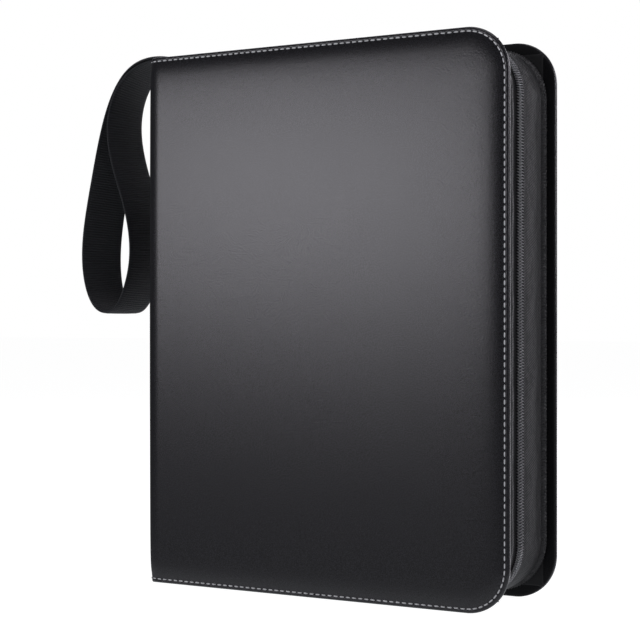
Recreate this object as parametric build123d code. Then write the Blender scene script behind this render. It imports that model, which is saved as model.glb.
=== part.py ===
from build123d import *
import math
import os

os.makedirs("parts", exist_ok=True)

# A zip-round ring binder for pocket pages, closed and standing on its bottom edge. All sizes are millimetres.
# The origin is the middle of the spine's foot. +X runs from the spine to the fore-edge, -Y is the front
# cover's side, +Y the back cover's and +Z is up.

# the whole binder
HEIGHT = 350.0
COVER_WIDTH = 262.0
THICKNESS = 75.0
COVER_CORNER = 28.0
MIDDLE = HEIGHT / 2
HALF = THICKNESS / 2

# the layers of a cover, counted in from its outer face
SKIN = 0.9
FOAM = 1.0
BOARD = 2.0
LINING = 0.6
PANEL = SKIN + FOAM + BOARD + LINING
CREASE = 5.5

# the spine
SPINE_OUT = -PANEL / 2
SPINE_IN = PANEL / 2
FORE_EDGE = SPINE_OUT + COVER_WIDTH
HINGE_GAP = 0.2
SPINE_HALF = HALF - PANEL - HINGE_GAP

# the gusset wall and the zip that run round the three open sides
TRACK_INSET = 6.0
TRACK_CORNER = 38.0
GUSSET_THICK = 1.4
GUSSET_START = SPINE_IN + 0.75
ZIP_Y = -HALF + 30.2
FRONT_TAPE_SHOWING = 8.3
BACK_TAPE_SHOWING = 4.9
TAPE_THICK = 0.6
TAPE_WIDE = 13.5
TAPE_START = 14.0
TEETH_GAP = 1.2
COIL_WIDTH = 2.7
COIL_HIGH = 3.0
FRONT_COIL_START = 33.0
BACK_COIL_START = 19.0
STOP_LONG = 2.2

# the slider and its pull
SLIDER_START = 20.0
SLIDER_LONG = 12.0
SLIDER_HALF = 5.3
WING = 1.1
SLIDER_PLAY = 0.3
PULL_LONG = 20.0
PULL_WIDE = 7.0
PULL_THICK = 1.2
PULL_PIN = 0.7

# the ring mechanism
RING_PITCH = 108.0
RING_RADIUS = 14.3
WIRE = 1.6
RING_X = SPINE_IN + 14.5
RING_END_ANGLE = 150.0
HOUSING_LONG = 292.0
HOUSING_HALF = 11.0
HOUSING_SIDE = 5.0
HOUSING_TOP = 8.5
HOUSING_SHEET = 0.8
BLADE_LONG = 280.0
BLADE_EDGE = 9.6
BLADE_LOW = 2.9
BLADE_TOP = 3.9
RIVET_SPREAD = 54.0
RIVET_SHANK = 1.8
RIVET_HEAD = 3.2

# the thumb levers at the two ends of the mechanism
LEVER_X = 4.4
LEVER_Z = MIDDLE + 142.5
LEVER_LIFT = 22.0
LEVER_REACH = 23.0
LEVER_PIN = 0.8
LEVER_RUNNING = 0.05
CAP_WIDE = 32.0
CAP_THICK = 2.4

# the pocket pages
PAGE_WIDE = 228.0
PAGE_TALL = 288.0
PAGE_THICK = 0.5
PAGE_MARGIN = 9.0
PAGE_HOLE = 4.0
PAGE_CORNER = 6.0
PAGES_PER_SIDE = 8
PAGE_FIRST = 0.6
PAGE_PITCH = 0.8

# the wrist strap
STRAP_WIDE = 30.0
STRAP_THICK = 1.6
STRAP_TOP = 353.2
STRAP_LOW = 351.4

RING_HEIGHTS = [MIDDLE - RING_PITCH, MIDDLE, MIDDLE + RING_PITCH]


def block(x_span, y_span, z_span):
    """A box between two values along each axis."""
    spans = (x_span, y_span, z_span)
    middle = [(low + high) / 2 for low, high in spans]
    size = [high - low for low, high in spans]
    return Pos(*middle) * Box(*size)


def slab(inset, y_span, corner, x_left):
    """A plate of the cover's outline, its three free edges moved in by inset, its two fore-edge corners round."""
    plate = block((x_left, FORE_EDGE - inset), y_span, (inset, HEIGHT - inset))
    corners = plate.edges().filter_by(Axis.Y).group_by(Axis.X)[-1]
    return fillet(corners, corner - inset)


def band(inset, thick, y_span, x_left):
    """A thin wall that runs from the spine along the top, down the fore-edge and back along the bottom."""
    outer = slab(inset, y_span, TRACK_CORNER, x_left)
    wide = (y_span[0] - 1, y_span[1] + 1)
    return outer - slab(inset + thick, wide, TRACK_CORNER, x_left - 1)


def depth_span(side, near, far):
    """The y span between two depths, counted in from the outer face of one cover."""
    return tuple(sorted((side * (HALF - near), side * (HALF - far))))


def along_y(radius, length, x, y, z):
    """A round bar along Y."""
    return Pos(x, y, z) * Rot(90, 0, 0) * Cylinder(radius, length)


def along_x(radius, x_span, y, z):
    """A round bar along X."""
    return Pos(sum(x_span) / 2, y, z) * Rot(0, 90, 0) * Cylinder(radius, x_span[1] - x_span[0])


def mirror_down(shape):
    """The same piece at the other end of the spine."""
    return mirror(shape, Plane.XY.offset(MIDDLE))


def save(shape, node):
    export_step(shape, f"parts/{node}.step")


# ---------------------------------------------------------------- covers

def cover_skin(side):
    """The leather outside of a cover, turned in round its edges: a shallow tray that is open inwards, with a
    strip of leather alone beside the spine, where the cover bends."""
    tray = slab(0, depth_span(side, 0, PANEL), COVER_CORNER, SPINE_OUT)
    return tray - slab(SKIN, depth_span(side, SKIN, PANEL), COVER_CORNER, SPINE_OUT + CREASE)


def cover_layer(side, near, far):
    """A layer that fills the skin's tray between two depths."""
    return slab(SKIN, depth_span(side, near, far), COVER_CORNER, SPINE_OUT + CREASE)


def gusset(side, showing):
    """The leather wall from a cover's inner face to where it is sewn over the zip tape, which shows beside it."""
    zip_edge = ZIP_Y + side * showing
    span = tuple(sorted((side * (HALF - PANEL), zip_edge)))
    return band(TRACK_INSET, GUSSET_THICK, span, GUSSET_START)


def zip_tape(side):
    """The woven tape under the gusset's edge, which carries the teeth."""
    near = ZIP_Y + side * TEETH_GAP / 2
    far = ZIP_Y + side * TAPE_WIDE
    span = tuple(sorted((near, far)))
    return band(TRACK_INSET + GUSSET_THICK, TAPE_THICK, span, TAPE_START)


def coil_span(side):
    near = ZIP_Y + side * TEETH_GAP / 2
    return tuple(sorted((near, near + side * COIL_WIDTH)))


def zip_coil(side, start):
    """One half of the coil teeth, along the inner edge of its tape."""
    return band(TRACK_INSET + GUSSET_THICK - COIL_HIGH, COIL_HIGH, coil_span(side), start)


def zip_stop(side, coil_start):
    """A metal stop clenched on the tape just before the lower end of the teeth."""
    tape_face = TRACK_INSET + GUSSET_THICK
    return block((coil_start - STOP_LONG, coil_start), coil_span(side), (tape_face - COIL_HIGH, tape_face))


COVERS = (("front", -1, FRONT_TAPE_SHOWING, FRONT_COIL_START), ("back", 1, BACK_TAPE_SHOWING, BACK_COIL_START))

for name, side, showing, coil_start in COVERS:
    save(cover_skin(side), f"{name}_cover_skin")
    save(cover_layer(side, SKIN, SKIN + FOAM), f"{name}_cover_foam")
    save(cover_layer(side, SKIN + FOAM, PANEL - LINING), f"{name}_cover_board")
    save(cover_layer(side, PANEL - LINING, PANEL), f"{name}_cover_lining")
    save(gusset(side, showing), f"{name}_gusset")
    save(zip_tape(side), f"{name}_zip_tape")
    save(zip_coil(side, coil_start), f"{name}_zip_coil")

save(zip_stop(-1, FRONT_COIL_START), "front_zip_stop")
bottom_stop = zip_stop(1, BACK_COIL_START)
save(Compound([bottom_stop, mirror_down(bottom_stop)]), "back_zip_stops")


# ---------------------------------------------------------------- spine

def spine_skin():
    """The leather outside of the spine, turned in round its edges."""
    width = (-SPINE_HALF, SPINE_HALF)
    inside = (-SPINE_HALF + SKIN, SPINE_HALF - SKIN)
    tray = block((SPINE_OUT, SPINE_IN), width, (0, HEIGHT))
    return tray - block((SPINE_OUT + SKIN, SPINE_IN), inside, (SKIN, HEIGHT - SKIN))


def spine_layer(x_span):
    inside = SPINE_HALF - SKIN
    return block(x_span, (-inside, inside), (SKIN, HEIGHT - SKIN))


def rivet_heights():
    return (MIDDLE - RIVET_SPREAD, MIDDLE + RIVET_SPREAD)


def spine_lining():
    """The cloth inside of the spine, pierced for the two rivets of the ring mechanism."""
    sheet = spine_layer((SPINE_IN - LINING, SPINE_IN))
    for z in rivet_heights():
        sheet -= along_x(RIVET_SHANK, (SPINE_IN - LINING, SPINE_IN), 0, z)
    return sheet


def zip_end():
    """The strip of leather at the top of the spine that joins the two gusset walls."""
    return block((SPINE_IN, TAPE_START - 2), (-24, 24), (HEIGHT - 9, HEIGHT - 7.7))


save(spine_skin(), "spine_skin")
save(spine_layer((SPINE_OUT + SKIN, SPINE_IN - LINING)), "spine_board")
save(spine_lining(), "spine_lining")
save(zip_end(), "zip_end_top")
save(mirror_down(zip_end()), "zip_end_bottom")


# ---------------------------------------------------------------- ring mechanism

def arch(half, side_height, top, foot):
    """The section of an arched channel: two short upright sides under one shallow arc."""
    points = [(side_height, -half), (foot, -half), (foot, half), (side_height, half)]
    outline = Polyline(*points) + ThreePointArc((side_height, half), (top, 0), (side_height, -half))
    return make_face(outline)


def ring_housing():
    """The arched steel channel on the spine, notched where the rings come out and drilled for its fixings."""
    outer = arch(HOUSING_HALF, HOUSING_SIDE, HOUSING_TOP, SPINE_IN)
    inner = arch(
        HOUSING_HALF - HOUSING_SHEET, HOUSING_SIDE - HOUSING_SHEET / 2, HOUSING_TOP - HOUSING_SHEET, SPINE_IN - 1
    )
    channel = Pos(0, 0, MIDDLE - HOUSING_LONG / 2) * extrude(outer - inner, HOUSING_LONG)
    notch_half = WIRE + 0.8
    for z in RING_HEIGHTS:
        for side in (-1, 1):
            y_span = tuple(sorted((side * 5.2, side * (HOUSING_HALF + 1))))
            channel -= block((3.2, HOUSING_TOP + 1), y_span, (z - notch_half, z + notch_half))
    for z in rivet_heights():
        channel -= along_x(RIVET_SHANK, (SPINE_IN, HOUSING_TOP + 1), 0, z)
    for z in (LEVER_Z, HEIGHT - LEVER_Z):
        channel -= along_y(LEVER_PIN, 4 * HOUSING_HALF, LEVER_X, 0, z)
    return channel


def ring_rivet(z):
    """A rivet from the spine board up through the housing, with a low rounded head."""
    shank = along_x(RIVET_SHANK, (SPINE_IN - LINING, HOUSING_TOP + 0.2), 0, z)
    head = along_x(RIVET_HEAD, (HOUSING_TOP, HOUSING_TOP + 1.3), 0, z)
    crown = head.edges().filter_by(GeomType.CIRCLE).sort_by(Axis.X)[-1]
    return shank + fillet(crown, 0.8)


def ring_blade(side):
    """One of the two long plates under the housing that carry the half rings."""
    y_span = tuple(sorted((side * 0.3, side * BLADE_EDGE)))
    blade = block((BLADE_LOW, BLADE_TOP), y_span, (MIDDLE - BLADE_LONG / 2, MIDDLE + BLADE_LONG / 2))
    for z in rivet_heights():
        blade -= along_x(RIVET_SHANK + 0.9, (BLADE_LOW - 1, BLADE_TOP + 1), 0, z)
    return blade


def half_ring(side, z):
    """Half of one round ring, from its tip opposite the spine round to the top of its blade."""
    ring = Pos(RING_X, 0, z) * Torus(RING_RADIUS, WIRE)
    y_span = tuple(sorted((side * 0.15, side * 40)))
    kept = ring & block((BLADE_TOP, 60), y_span, (z - 5, z + 5))
    foot_y = RING_RADIUS * math.sin(math.radians(RING_END_ANGLE)) - WIRE * 0.6
    inner = tuple(sorted((0, side * foot_y)))
    return kept - block((0, RING_X - RING_RADIUS + 2.5), inner, (z - 5, z + 5))


save(ring_housing(), "ring_housing")
save(Compound([ring_rivet(z) for z in rivet_heights()]), "ring_rivets")
for name, side, _, _ in COVERS:
    save(ring_blade(side), f"{name}_ring_blade")
    for number, z in enumerate(RING_HEIGHTS, start=1):
        save(half_ring(side, z), f"{name}_half_ring_{number}")


# ---------------------------------------------------------------- levers

def raised(shape):
    """Turns a lever piece, drawn lying along +Z from the origin, up to its raised place on the pin."""
    return Pos(LEVER_X, 0, LEVER_Z) * Rot(0, LEVER_LIFT, 0) * shape


def lever_arm_flat():
    """The steel arm: a rolled eye on the pin and a flat tongue that reaches into the plastic pad."""
    eye = along_y(LEVER_PIN * 2, 10, 0, 0, 0)
    tongue = block((-0.6, 0.6), (-5, 5), (0, 12))
    return eye + tongue - along_y(LEVER_PIN + LEVER_RUNNING, 12, 0, 0, 0)


def lever_cap_flat():
    """The black thumb pad moulded over the arm's tongue."""
    half = CAP_WIDE / 2
    pad = block((-CAP_THICK / 2, CAP_THICK / 2), (-half, half), (5, LEVER_REACH))
    pad = fillet(pad.edges().filter_by(Axis.X), 2.0)
    return pad - block((-0.6, 0.6), (-5, 5), (4, 12))


def lever_pin():
    return along_y(LEVER_PIN, 2 * HOUSING_HALF, LEVER_X, 0, LEVER_Z)


save(Compound([lever_pin(), mirror_down(lever_pin())]), "lever_pins")
save(raised(lever_arm_flat()), "top_lever_arm")
save(raised(lever_cap_flat()), "top_lever_pad")
save(mirror_down(raised(lever_arm_flat())), "bottom_lever_arm")
save(mirror_down(raised(lever_cap_flat())), "bottom_lever_pad")


# ---------------------------------------------------------------- slider and pull

TAPE_FACE = HEIGHT - TRACK_INSET - GUSSET_THICK
COIL_FACE = TAPE_FACE + COIL_HIGH
WING_LOW = COIL_FACE + SLIDER_PLAY
WING_HIGH = WING_LOW + WING
PIN_X = SLIDER_START + SLIDER_LONG / 2
PIN_Z = WING_HIGH + 1.4


def zip_slider():
    """The cast slider: a wing over the teeth with a flange down each side, a wing under the tape, the thin
    neck that joins them between the teeth, and two lugs with the pin of the pull."""
    x_span = (SLIDER_START, SLIDER_START + SLIDER_LONG)
    y_span = (ZIP_Y - SLIDER_HALF, ZIP_Y + SLIDER_HALF)
    under = TAPE_FACE - TAPE_THICK - SLIDER_PLAY - 0.1
    slider = block(x_span, y_span, (WING_LOW, WING_HIGH))
    slider += block(x_span, y_span, (under - WING, under))
    neck = (ZIP_Y - 0.3, ZIP_Y + 0.3)
    slider += block((x_span[1] - 4, x_span[1]), neck, (under, WING_LOW))
    flange_inside = TEETH_GAP / 2 + COIL_WIDTH + SLIDER_PLAY
    for side in (-1, 1):
        flange = tuple(sorted((ZIP_Y + side * flange_inside, ZIP_Y + side * (flange_inside + 1))))
        slider += block(x_span, flange, (TAPE_FACE + SLIDER_PLAY, WING_LOW))
        lug = tuple(sorted((ZIP_Y + side * 1.6, ZIP_Y + side * 2.7)))
        slider += block((PIN_X - 1.5, PIN_X + 1.5), lug, (WING_HIGH, PIN_Z + 1.2))
    return slider + along_y(PULL_PIN, 5.2, PIN_X, ZIP_Y, PIN_Z)


def zip_pull():
    """The flat pull: a bored knuckle between the lugs, a short neck and a tab with a rounded end."""
    knuckle = along_y(1.25, 2.6, PIN_X, ZIP_Y, PIN_Z)
    z_span = (PIN_Z - PULL_THICK / 2, PIN_Z + PULL_THICK / 2)
    neck = block((PIN_X, PIN_X + 4), (ZIP_Y - 1.3, ZIP_Y + 1.3), z_span)
    half = PULL_WIDE / 2
    tab = block((PIN_X + 3, PIN_X + PULL_LONG), (ZIP_Y - half, ZIP_Y + half), z_span)
    ends = tab.edges().filter_by(Axis.Z)
    tab = fillet(ends.group_by(Axis.X)[-1], half * 0.9)
    return knuckle + neck + tab - along_y(PULL_PIN + 0.05, 4, PIN_X, ZIP_Y, PIN_Z)


save(zip_slider(), "zip_slider")
save(zip_pull(), "zip_pull")


# ---------------------------------------------------------------- pages

def pocket_page(side, number):
    """One page of clear pockets, closed against the others, with three round holes that ride on the rings."""
    y = side * (PAGE_FIRST + PAGE_PITCH * number)
    hole_x = RING_X + math.sqrt(RING_RADIUS**2 - y**2)
    left = hole_x - PAGE_MARGIN
    page = block(
        (left, left + PAGE_WIDE),
        (y - PAGE_THICK / 2, y + PAGE_THICK / 2),
        (MIDDLE - PAGE_TALL / 2, MIDDLE + PAGE_TALL / 2),
    )
    page = fillet(page.edges().filter_by(Axis.Y).group_by(Axis.X)[-1], PAGE_CORNER)
    for z in RING_HEIGHTS:
        page -= along_y(PAGE_HOLE, 2, hole_x, y, z)
    return page


for name, side, _, _ in COVERS:
    for number in range(PAGES_PER_SIDE):
        save(pocket_page(side, number), f"{name}_page_{number + 1}")


# ---------------------------------------------------------------- wrist strap

# the middle line of the webbing, as distance out from the spine's face and height: over the edge, down the
# outer side of the loop, round the fold at the bottom and back up the inner side
STRAP_LINE = [
    (0.5, STRAP_TOP),
    (25, STRAP_TOP),
    (47.5, 335),
    (58.5, 292),
    (71, 232),
    (71, 203),
    (58, 184),
    (39, 177),
    (34, 205),
    (27.5, 227),
    (41, 264),
    (49.5, 300),
    (41.5, 334),
    (22, STRAP_LOW),
    (0.5, STRAP_LOW),
]


def bend_radii(points):
    """The largest arc that fits at each corner of a line: 0.45 of the shorter run over the tangent of half the turn."""
    radii = []
    for before, here, after in zip(points, points[1:], points[2:]):
        run_in = Vector(*here) - Vector(*before)
        run_out = Vector(*after) - Vector(*here)
        half_turn = math.radians(run_in.get_angle(run_out)) / 2
        radii.append(0.45 * min(run_in.length, run_out.length) / math.tan(half_turn))
    return radii


def wrist_strap():
    """The webbing loop that hangs from the top of the spine, as one ribbon."""
    points = [(SPINE_OUT - out, z) for out, z in STRAP_LINE]
    line = FilletPolyline(*points, radius=bend_radii(points))
    print(f"wrist strap line {line.length:.1f} mm")
    ribbon = extrude(trace(line, STRAP_THICK), STRAP_WIDE / 2, both=True)
    return Plane.XZ * ribbon


def strap_root():
    """The two ends of the strap, stitched together where they come up out of the spine."""
    half = STRAP_WIDE / 2
    low = STRAP_LOW - STRAP_THICK / 2
    high = STRAP_TOP + STRAP_THICK / 2
    ends = block((SPINE_OUT - 0.2, 1.6), (-half, half), (HEIGHT, high))
    ends -= block((SPINE_OUT - 1, SPINE_OUT), (-half - 1, half + 1), (HEIGHT - 1, low))
    bend = ends.edges().filter_by(Axis.Y).group_by(Axis.Z)[-1].sort_by(Axis.X)[-1]
    return fillet(bend, 2.5)


save(wrist_strap(), "wrist_strap")
save(strap_root(), "strap_root")
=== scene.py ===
import math

import bmesh
import bpy
import numpy as np
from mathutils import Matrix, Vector


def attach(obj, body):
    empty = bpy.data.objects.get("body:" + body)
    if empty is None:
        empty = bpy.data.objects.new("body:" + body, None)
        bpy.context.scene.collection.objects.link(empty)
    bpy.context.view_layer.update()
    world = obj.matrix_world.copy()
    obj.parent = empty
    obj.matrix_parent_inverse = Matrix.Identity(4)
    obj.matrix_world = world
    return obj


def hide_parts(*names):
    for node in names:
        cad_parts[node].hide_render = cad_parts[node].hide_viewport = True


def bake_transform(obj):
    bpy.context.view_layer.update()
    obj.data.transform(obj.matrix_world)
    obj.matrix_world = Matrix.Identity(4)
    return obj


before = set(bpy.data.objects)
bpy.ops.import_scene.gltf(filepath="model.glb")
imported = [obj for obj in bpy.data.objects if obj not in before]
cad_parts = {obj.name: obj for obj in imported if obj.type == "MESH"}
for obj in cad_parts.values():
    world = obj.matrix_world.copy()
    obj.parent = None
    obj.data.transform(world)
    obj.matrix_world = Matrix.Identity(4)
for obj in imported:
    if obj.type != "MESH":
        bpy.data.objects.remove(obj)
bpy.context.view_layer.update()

# ---------------------------------------------------------------- the studio
# The binder stands on a wide white table under a white sky. A wide soft box stands at its front left, a strip light
# beside its fore-edge, a small light and a tall strip behind that for the rims, and fill light above and behind. The
# sky below the horizon lights the binder as a glow from the table would, which the table itself doesn't send.

MM = 0.001
SIDES = (("front", -1), ("back", 1))
VIEW_TURN = math.radians(30.94)
BINDER_MIDDLE = Vector((0.12, 0.0, 0.175))
TABLE_HALF = 12.0

camera_lens = bpy.data.cameras.new("camera")
camera_lens.sensor_width = 36.0
camera_lens.lens = 94.0
camera_lens.clip_start = 0.01
camera = bpy.data.objects.new("camera", camera_lens)
camera.location = (0.6693, -0.9358, 0.175)
camera.rotation_euler = (math.pi / 2, 0.0, VIEW_TURN)
bpy.context.scene.collection.objects.link(camera)
bpy.context.scene.camera = camera
bpy.context.scene.view_settings.view_transform = "Standard"


def soft_light(name, azimuth, elevation, distance, size, power):
    """An area light at a compass angle round the binder's middle, aimed at that middle."""
    light = bpy.data.lights.new(name, "AREA")
    light.shape = "RECTANGLE"
    light.size, light.size_y = size
    light.energy = power
    light.color = (0.955, 0.935, 1.0)
    holder = bpy.data.objects.new(name, light)
    turn, rise = math.radians(azimuth), math.radians(elevation)
    way = Vector((math.sin(turn) * math.cos(rise), -math.cos(turn) * math.cos(rise), math.sin(rise)))
    holder.location = BINDER_MIDDLE + way * distance
    holder.rotation_euler = way.to_track_quat("Z", "Y").to_euler()
    bpy.context.scene.collection.objects.link(holder)


soft_light("front_softbox", -30, 7.6, 1.9, (0.86, 0.42), 7.0)
soft_light("side_strip", 92, 18, 1.6, (0.12, 0.8), 7)
soft_light("top_fill", 20, 80, 1.8, (1.2, 1.2), 8)
soft_light("fore_edge_light", 143, 20, 1.8, (0.4, 0.4), 2.4)
soft_light("rim_strip", 168, 4, 1.9, (0.5, 1.7), 8)
soft_light("back_fill", 215, 30, 2.2, (1.2, 1.0), 8)

room = bpy.data.worlds.new("room")
room.use_nodes = True
sky = room.node_tree.nodes
sky.clear()
ray = sky.new("ShaderNodeLightPath")
lit, seen, chosen = (sky.new(k) for k in ("ShaderNodeBackground", "ShaderNodeBackground", "ShaderNodeMixShader"))
lit.inputs["Color"].default_value = (0.93, 0.95, 1.0, 1)
direction, split, table_glow = (sky.new(k) for k in (
    "ShaderNodeTexCoord", "ShaderNodeSeparateXYZ", "ShaderNodeMapRange"))
for socket, value in (("From Min", -0.34), ("From Max", -0.14), ("To Min", 0.64), ("To Max", 0.09)):
    table_glow.inputs[socket].default_value = value
room.node_tree.links.new(direction.outputs["Generated"], split.inputs[0])
room.node_tree.links.new(split.outputs["Z"], table_glow.inputs["Value"])
room.node_tree.links.new(table_glow.outputs["Result"], lit.inputs["Strength"])
seen.inputs["Color"].default_value = (1, 1, 1, 1)
seen.inputs["Strength"].default_value = 1.0
room.node_tree.links.new(ray.outputs["Is Camera Ray"], chosen.inputs["Fac"])
room.node_tree.links.new(lit.outputs[0], chosen.inputs[1])
room.node_tree.links.new(seen.outputs[0], chosen.inputs[2])
room.node_tree.links.new(chosen.outputs[0], sky.new("ShaderNodeOutputWorld").inputs["Surface"])
bpy.context.scene.world = room


def finish(name, **sockets):
    """A new material on the shader's own sockets; underscores stand for the spaces in a socket's name."""
    material = bpy.data.materials.new(name)
    material.use_nodes = True
    shader = material.node_tree.nodes["Principled BSDF"]
    for socket, value in sockets.items():
        shader.inputs[socket.replace("_", " ")].default_value = value
    return material


table_top = finish("table_top", Base_Color=(0.28, 0.28, 0.28, 1), Roughness=0.8, Specular_IOR_Level=0.0,
                   Emission_Color=(1, 1, 1, 1), Emission_Strength=0.965)
table_mesh = bpy.data.meshes.new("table")
table_mesh.from_pydata(
    [(TABLE_HALF * u, TABLE_HALF * v, 0) for u, v in ((-1, -1), (1, -1), (1, 1), (-1, 1))], [], [(0, 1, 2, 3)])
table = bpy.data.objects.new("table", table_mesh)
table_mesh.materials.append(table_top)
bpy.context.scene.collection.objects.link(table)
table.visible_glossy = table.visible_diffuse = False

# ---------------------------------------------------------------- the leather outside of the covers
# Each cover is one sheet of black imitation leather over thin foam and board. It is turned in round the edges and
# sewn down 2.75 mm from them, which pulls the padding into a soft slope inside the seam.

HEIGHT = 350.0
MIDDLE = HEIGHT / 2
HALF = 37.5
SPINE_FACE = -2.25
FORE_EDGE = 259.75
COVER_CORNER = 28.0
PANEL = 4.5
CREASE_END = 8.0
SEAM = 2.75
STITCH_PITCH = 4.4
PAD_EDGE = 14.0
LEATHER_IN = 9.0
HIDDEN_DEPTH = 1.4
SLOPE_FOOT = 3.65
SLOPE_REACH = 5.5
SLOPE_HIGH = 1.35
CROWN_REACH = 60.0
CROWN_HIGH = 0.5
SEAM_VALLEY = 0.38
STITCH_DIMPLE = 0.10


def open_sides(corner, x_start, step):
    """Stations along the top, round a quarter circle, down the fore-edge, round the second one and back along the
    bottom. Gives each one's length along the line, its x and z, and the outward direction there."""
    straight = FORE_EDGE - corner - x_start
    upright = HEIGHT - 2 * corner
    arc = corner * math.pi / 2
    total = 2 * (straight + arc) + upright
    run = np.linspace(0, total, round(total / step) + 1)
    first = np.clip((run - straight) / corner, 0, math.pi / 2)
    second = np.clip((run - straight - arc - upright) / corner, 0, math.pi / 2)
    back = np.clip(run - straight - 2 * arc - upright, 0, straight)
    x = x_start + np.clip(run, 0, straight) + corner * np.sin(first) - corner * (1 - np.cos(second)) - back
    z = HEIGHT - corner * (1 - np.cos(first)) - np.clip(run - straight - arc, 0, upright) - corner * np.sin(second)
    turn = first + second
    return run, x, z, np.sin(turn), np.cos(turn)


def sheet_faces(rows, columns, wrap_rows=False, wrap_columns=False):
    """The quads of a grid of rows by columns, which may close on itself either way."""
    number = np.arange(rows * columns).reshape(rows, columns)
    if wrap_rows:
        number = np.vstack([number, number[:1]])
    if wrap_columns:
        number = np.hstack([number, number[:, :1]])
    corners = number[:-1, :-1], number[:-1, 1:], number[1:, 1:], number[1:, :-1]
    return np.stack([c.ravel() for c in corners], axis=1)


def capped_band(count, length):
    """The quads of a closed section of count points carried along length stations, with a face over both ends."""
    ends = np.arange(count) * length
    caps = [ends.tolist(), (ends + length - 1)[::-1].tolist()]
    return sheet_faces(count, length, wrap_rows=True).tolist() + caps


def capped_tube(count, length):
    """The quads of count rings of length points each, with a face over both ends."""
    caps = [list(range(length)), [count * length - 1 - k for k in range(length)]]
    return sheet_faces(count, length, wrap_columns=True).tolist() + caps


def piece(name, points, faces, material, merge=0.0, creased=None):
    """An object from points in millimetres and faces, its doubles merged and its faces turned outwards."""
    mesh = bpy.data.meshes.new(name)
    mesh.from_pydata((np.asarray(points).reshape(-1, 3) * MM).tolist(), [], [list(map(int, f)) for f in faces])
    shell = bmesh.new()
    shell.from_mesh(mesh)
    if merge:
        bmesh.ops.remove_doubles(shell, verts=shell.verts, dist=merge * MM)
    bmesh.ops.recalc_face_normals(shell, faces=shell.faces)
    shell.to_mesh(mesh)
    shell.free()
    mesh.polygons.foreach_set("use_smooth", np.ones(len(mesh.polygons), bool))
    if creased:
        mesh.set_sharp_from_angle(angle=math.radians(creased))
    mesh.materials.append(material)
    made = bpy.data.objects.new(name, mesh)
    bpy.context.scene.collection.objects.link(made)
    return made


def arc_points(centre, radius, start, stop, count):
    """Points on an arc in a section, as (inset, depth); the angle is from the inset axis towards the depth axis."""
    angle = np.radians(np.linspace(start, stop, count))
    return np.stack([centre[0] + radius * np.cos(angle), centre[1] + radius * np.sin(angle)], axis=1)


def padded_depth(inset):
    """How deep the face lies at a distance from the edge: it climbs out of the seam on a slope that dies away
    exponentially, and goes on to a crown of half a millimetre."""
    up_slope = inset - SLOPE_FOOT
    slope = SLOPE_HIGH * (1 - np.exp(-up_slope / SLOPE_REACH))
    return 0.52 - slope - CROWN_HIGH * (1 - np.exp(-up_slope / CROWN_REACH))


def from_edge(x, z):
    """The distance of a point of a cover's face from the nearest open edge, measured in from the round corners."""
    level = np.minimum(z, HEIGHT - z)
    reach = FORE_EDGE - x
    corner = COVER_CORNER - np.hypot(np.maximum(COVER_CORNER - reach, 0), np.maximum(COVER_CORNER - level, 0))
    return np.where((reach < COVER_CORNER) & (level < COVER_CORNER), corner, np.minimum(level, reach))


def rim_section():
    """The leather's section at an open edge as (inset from the edge, depth below the cover's face): along the inner
    margin, round the edge, over the border band, down into the seam and up the padded slope."""
    inner = [(LEATHER_IN, PANEL), (6.0, PANEL), (3.0, PANEL)]
    edge_in = arc_points((1.6, 2.9), 1.5, 90, 180, 5)
    edge_out = arc_points((1.5, 2.0), 1.4, 180, 262, 6)
    border = np.linspace(1.7, SEAM + 0.9, 12)
    valley = SEAM_VALLEY * np.exp(-(((border - SEAM) / 0.42) ** 2))
    band = np.stack([border, 0.60 - 0.05 * (border - 1.7) + valley], axis=1)
    slope = np.array([4.2, 5.0, 6.0, 7.2, 8.6, 10.2, 12.0, PAD_EDGE])
    rise = padded_depth(slope)
    return np.vstack([inner, edge_in, edge_out, band, np.stack([slope, rise], axis=1)])


def seam_pull(inset, run):
    """How far the thread pulls the leather in: a dimple at each stitch's two ends, fading away from the seam."""
    reach = np.exp(-(((inset - SEAM) / 1.1) ** 2))
    return STITCH_DIMPLE * reach * np.cos(2 * math.pi * run / STITCH_PITCH)


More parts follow.
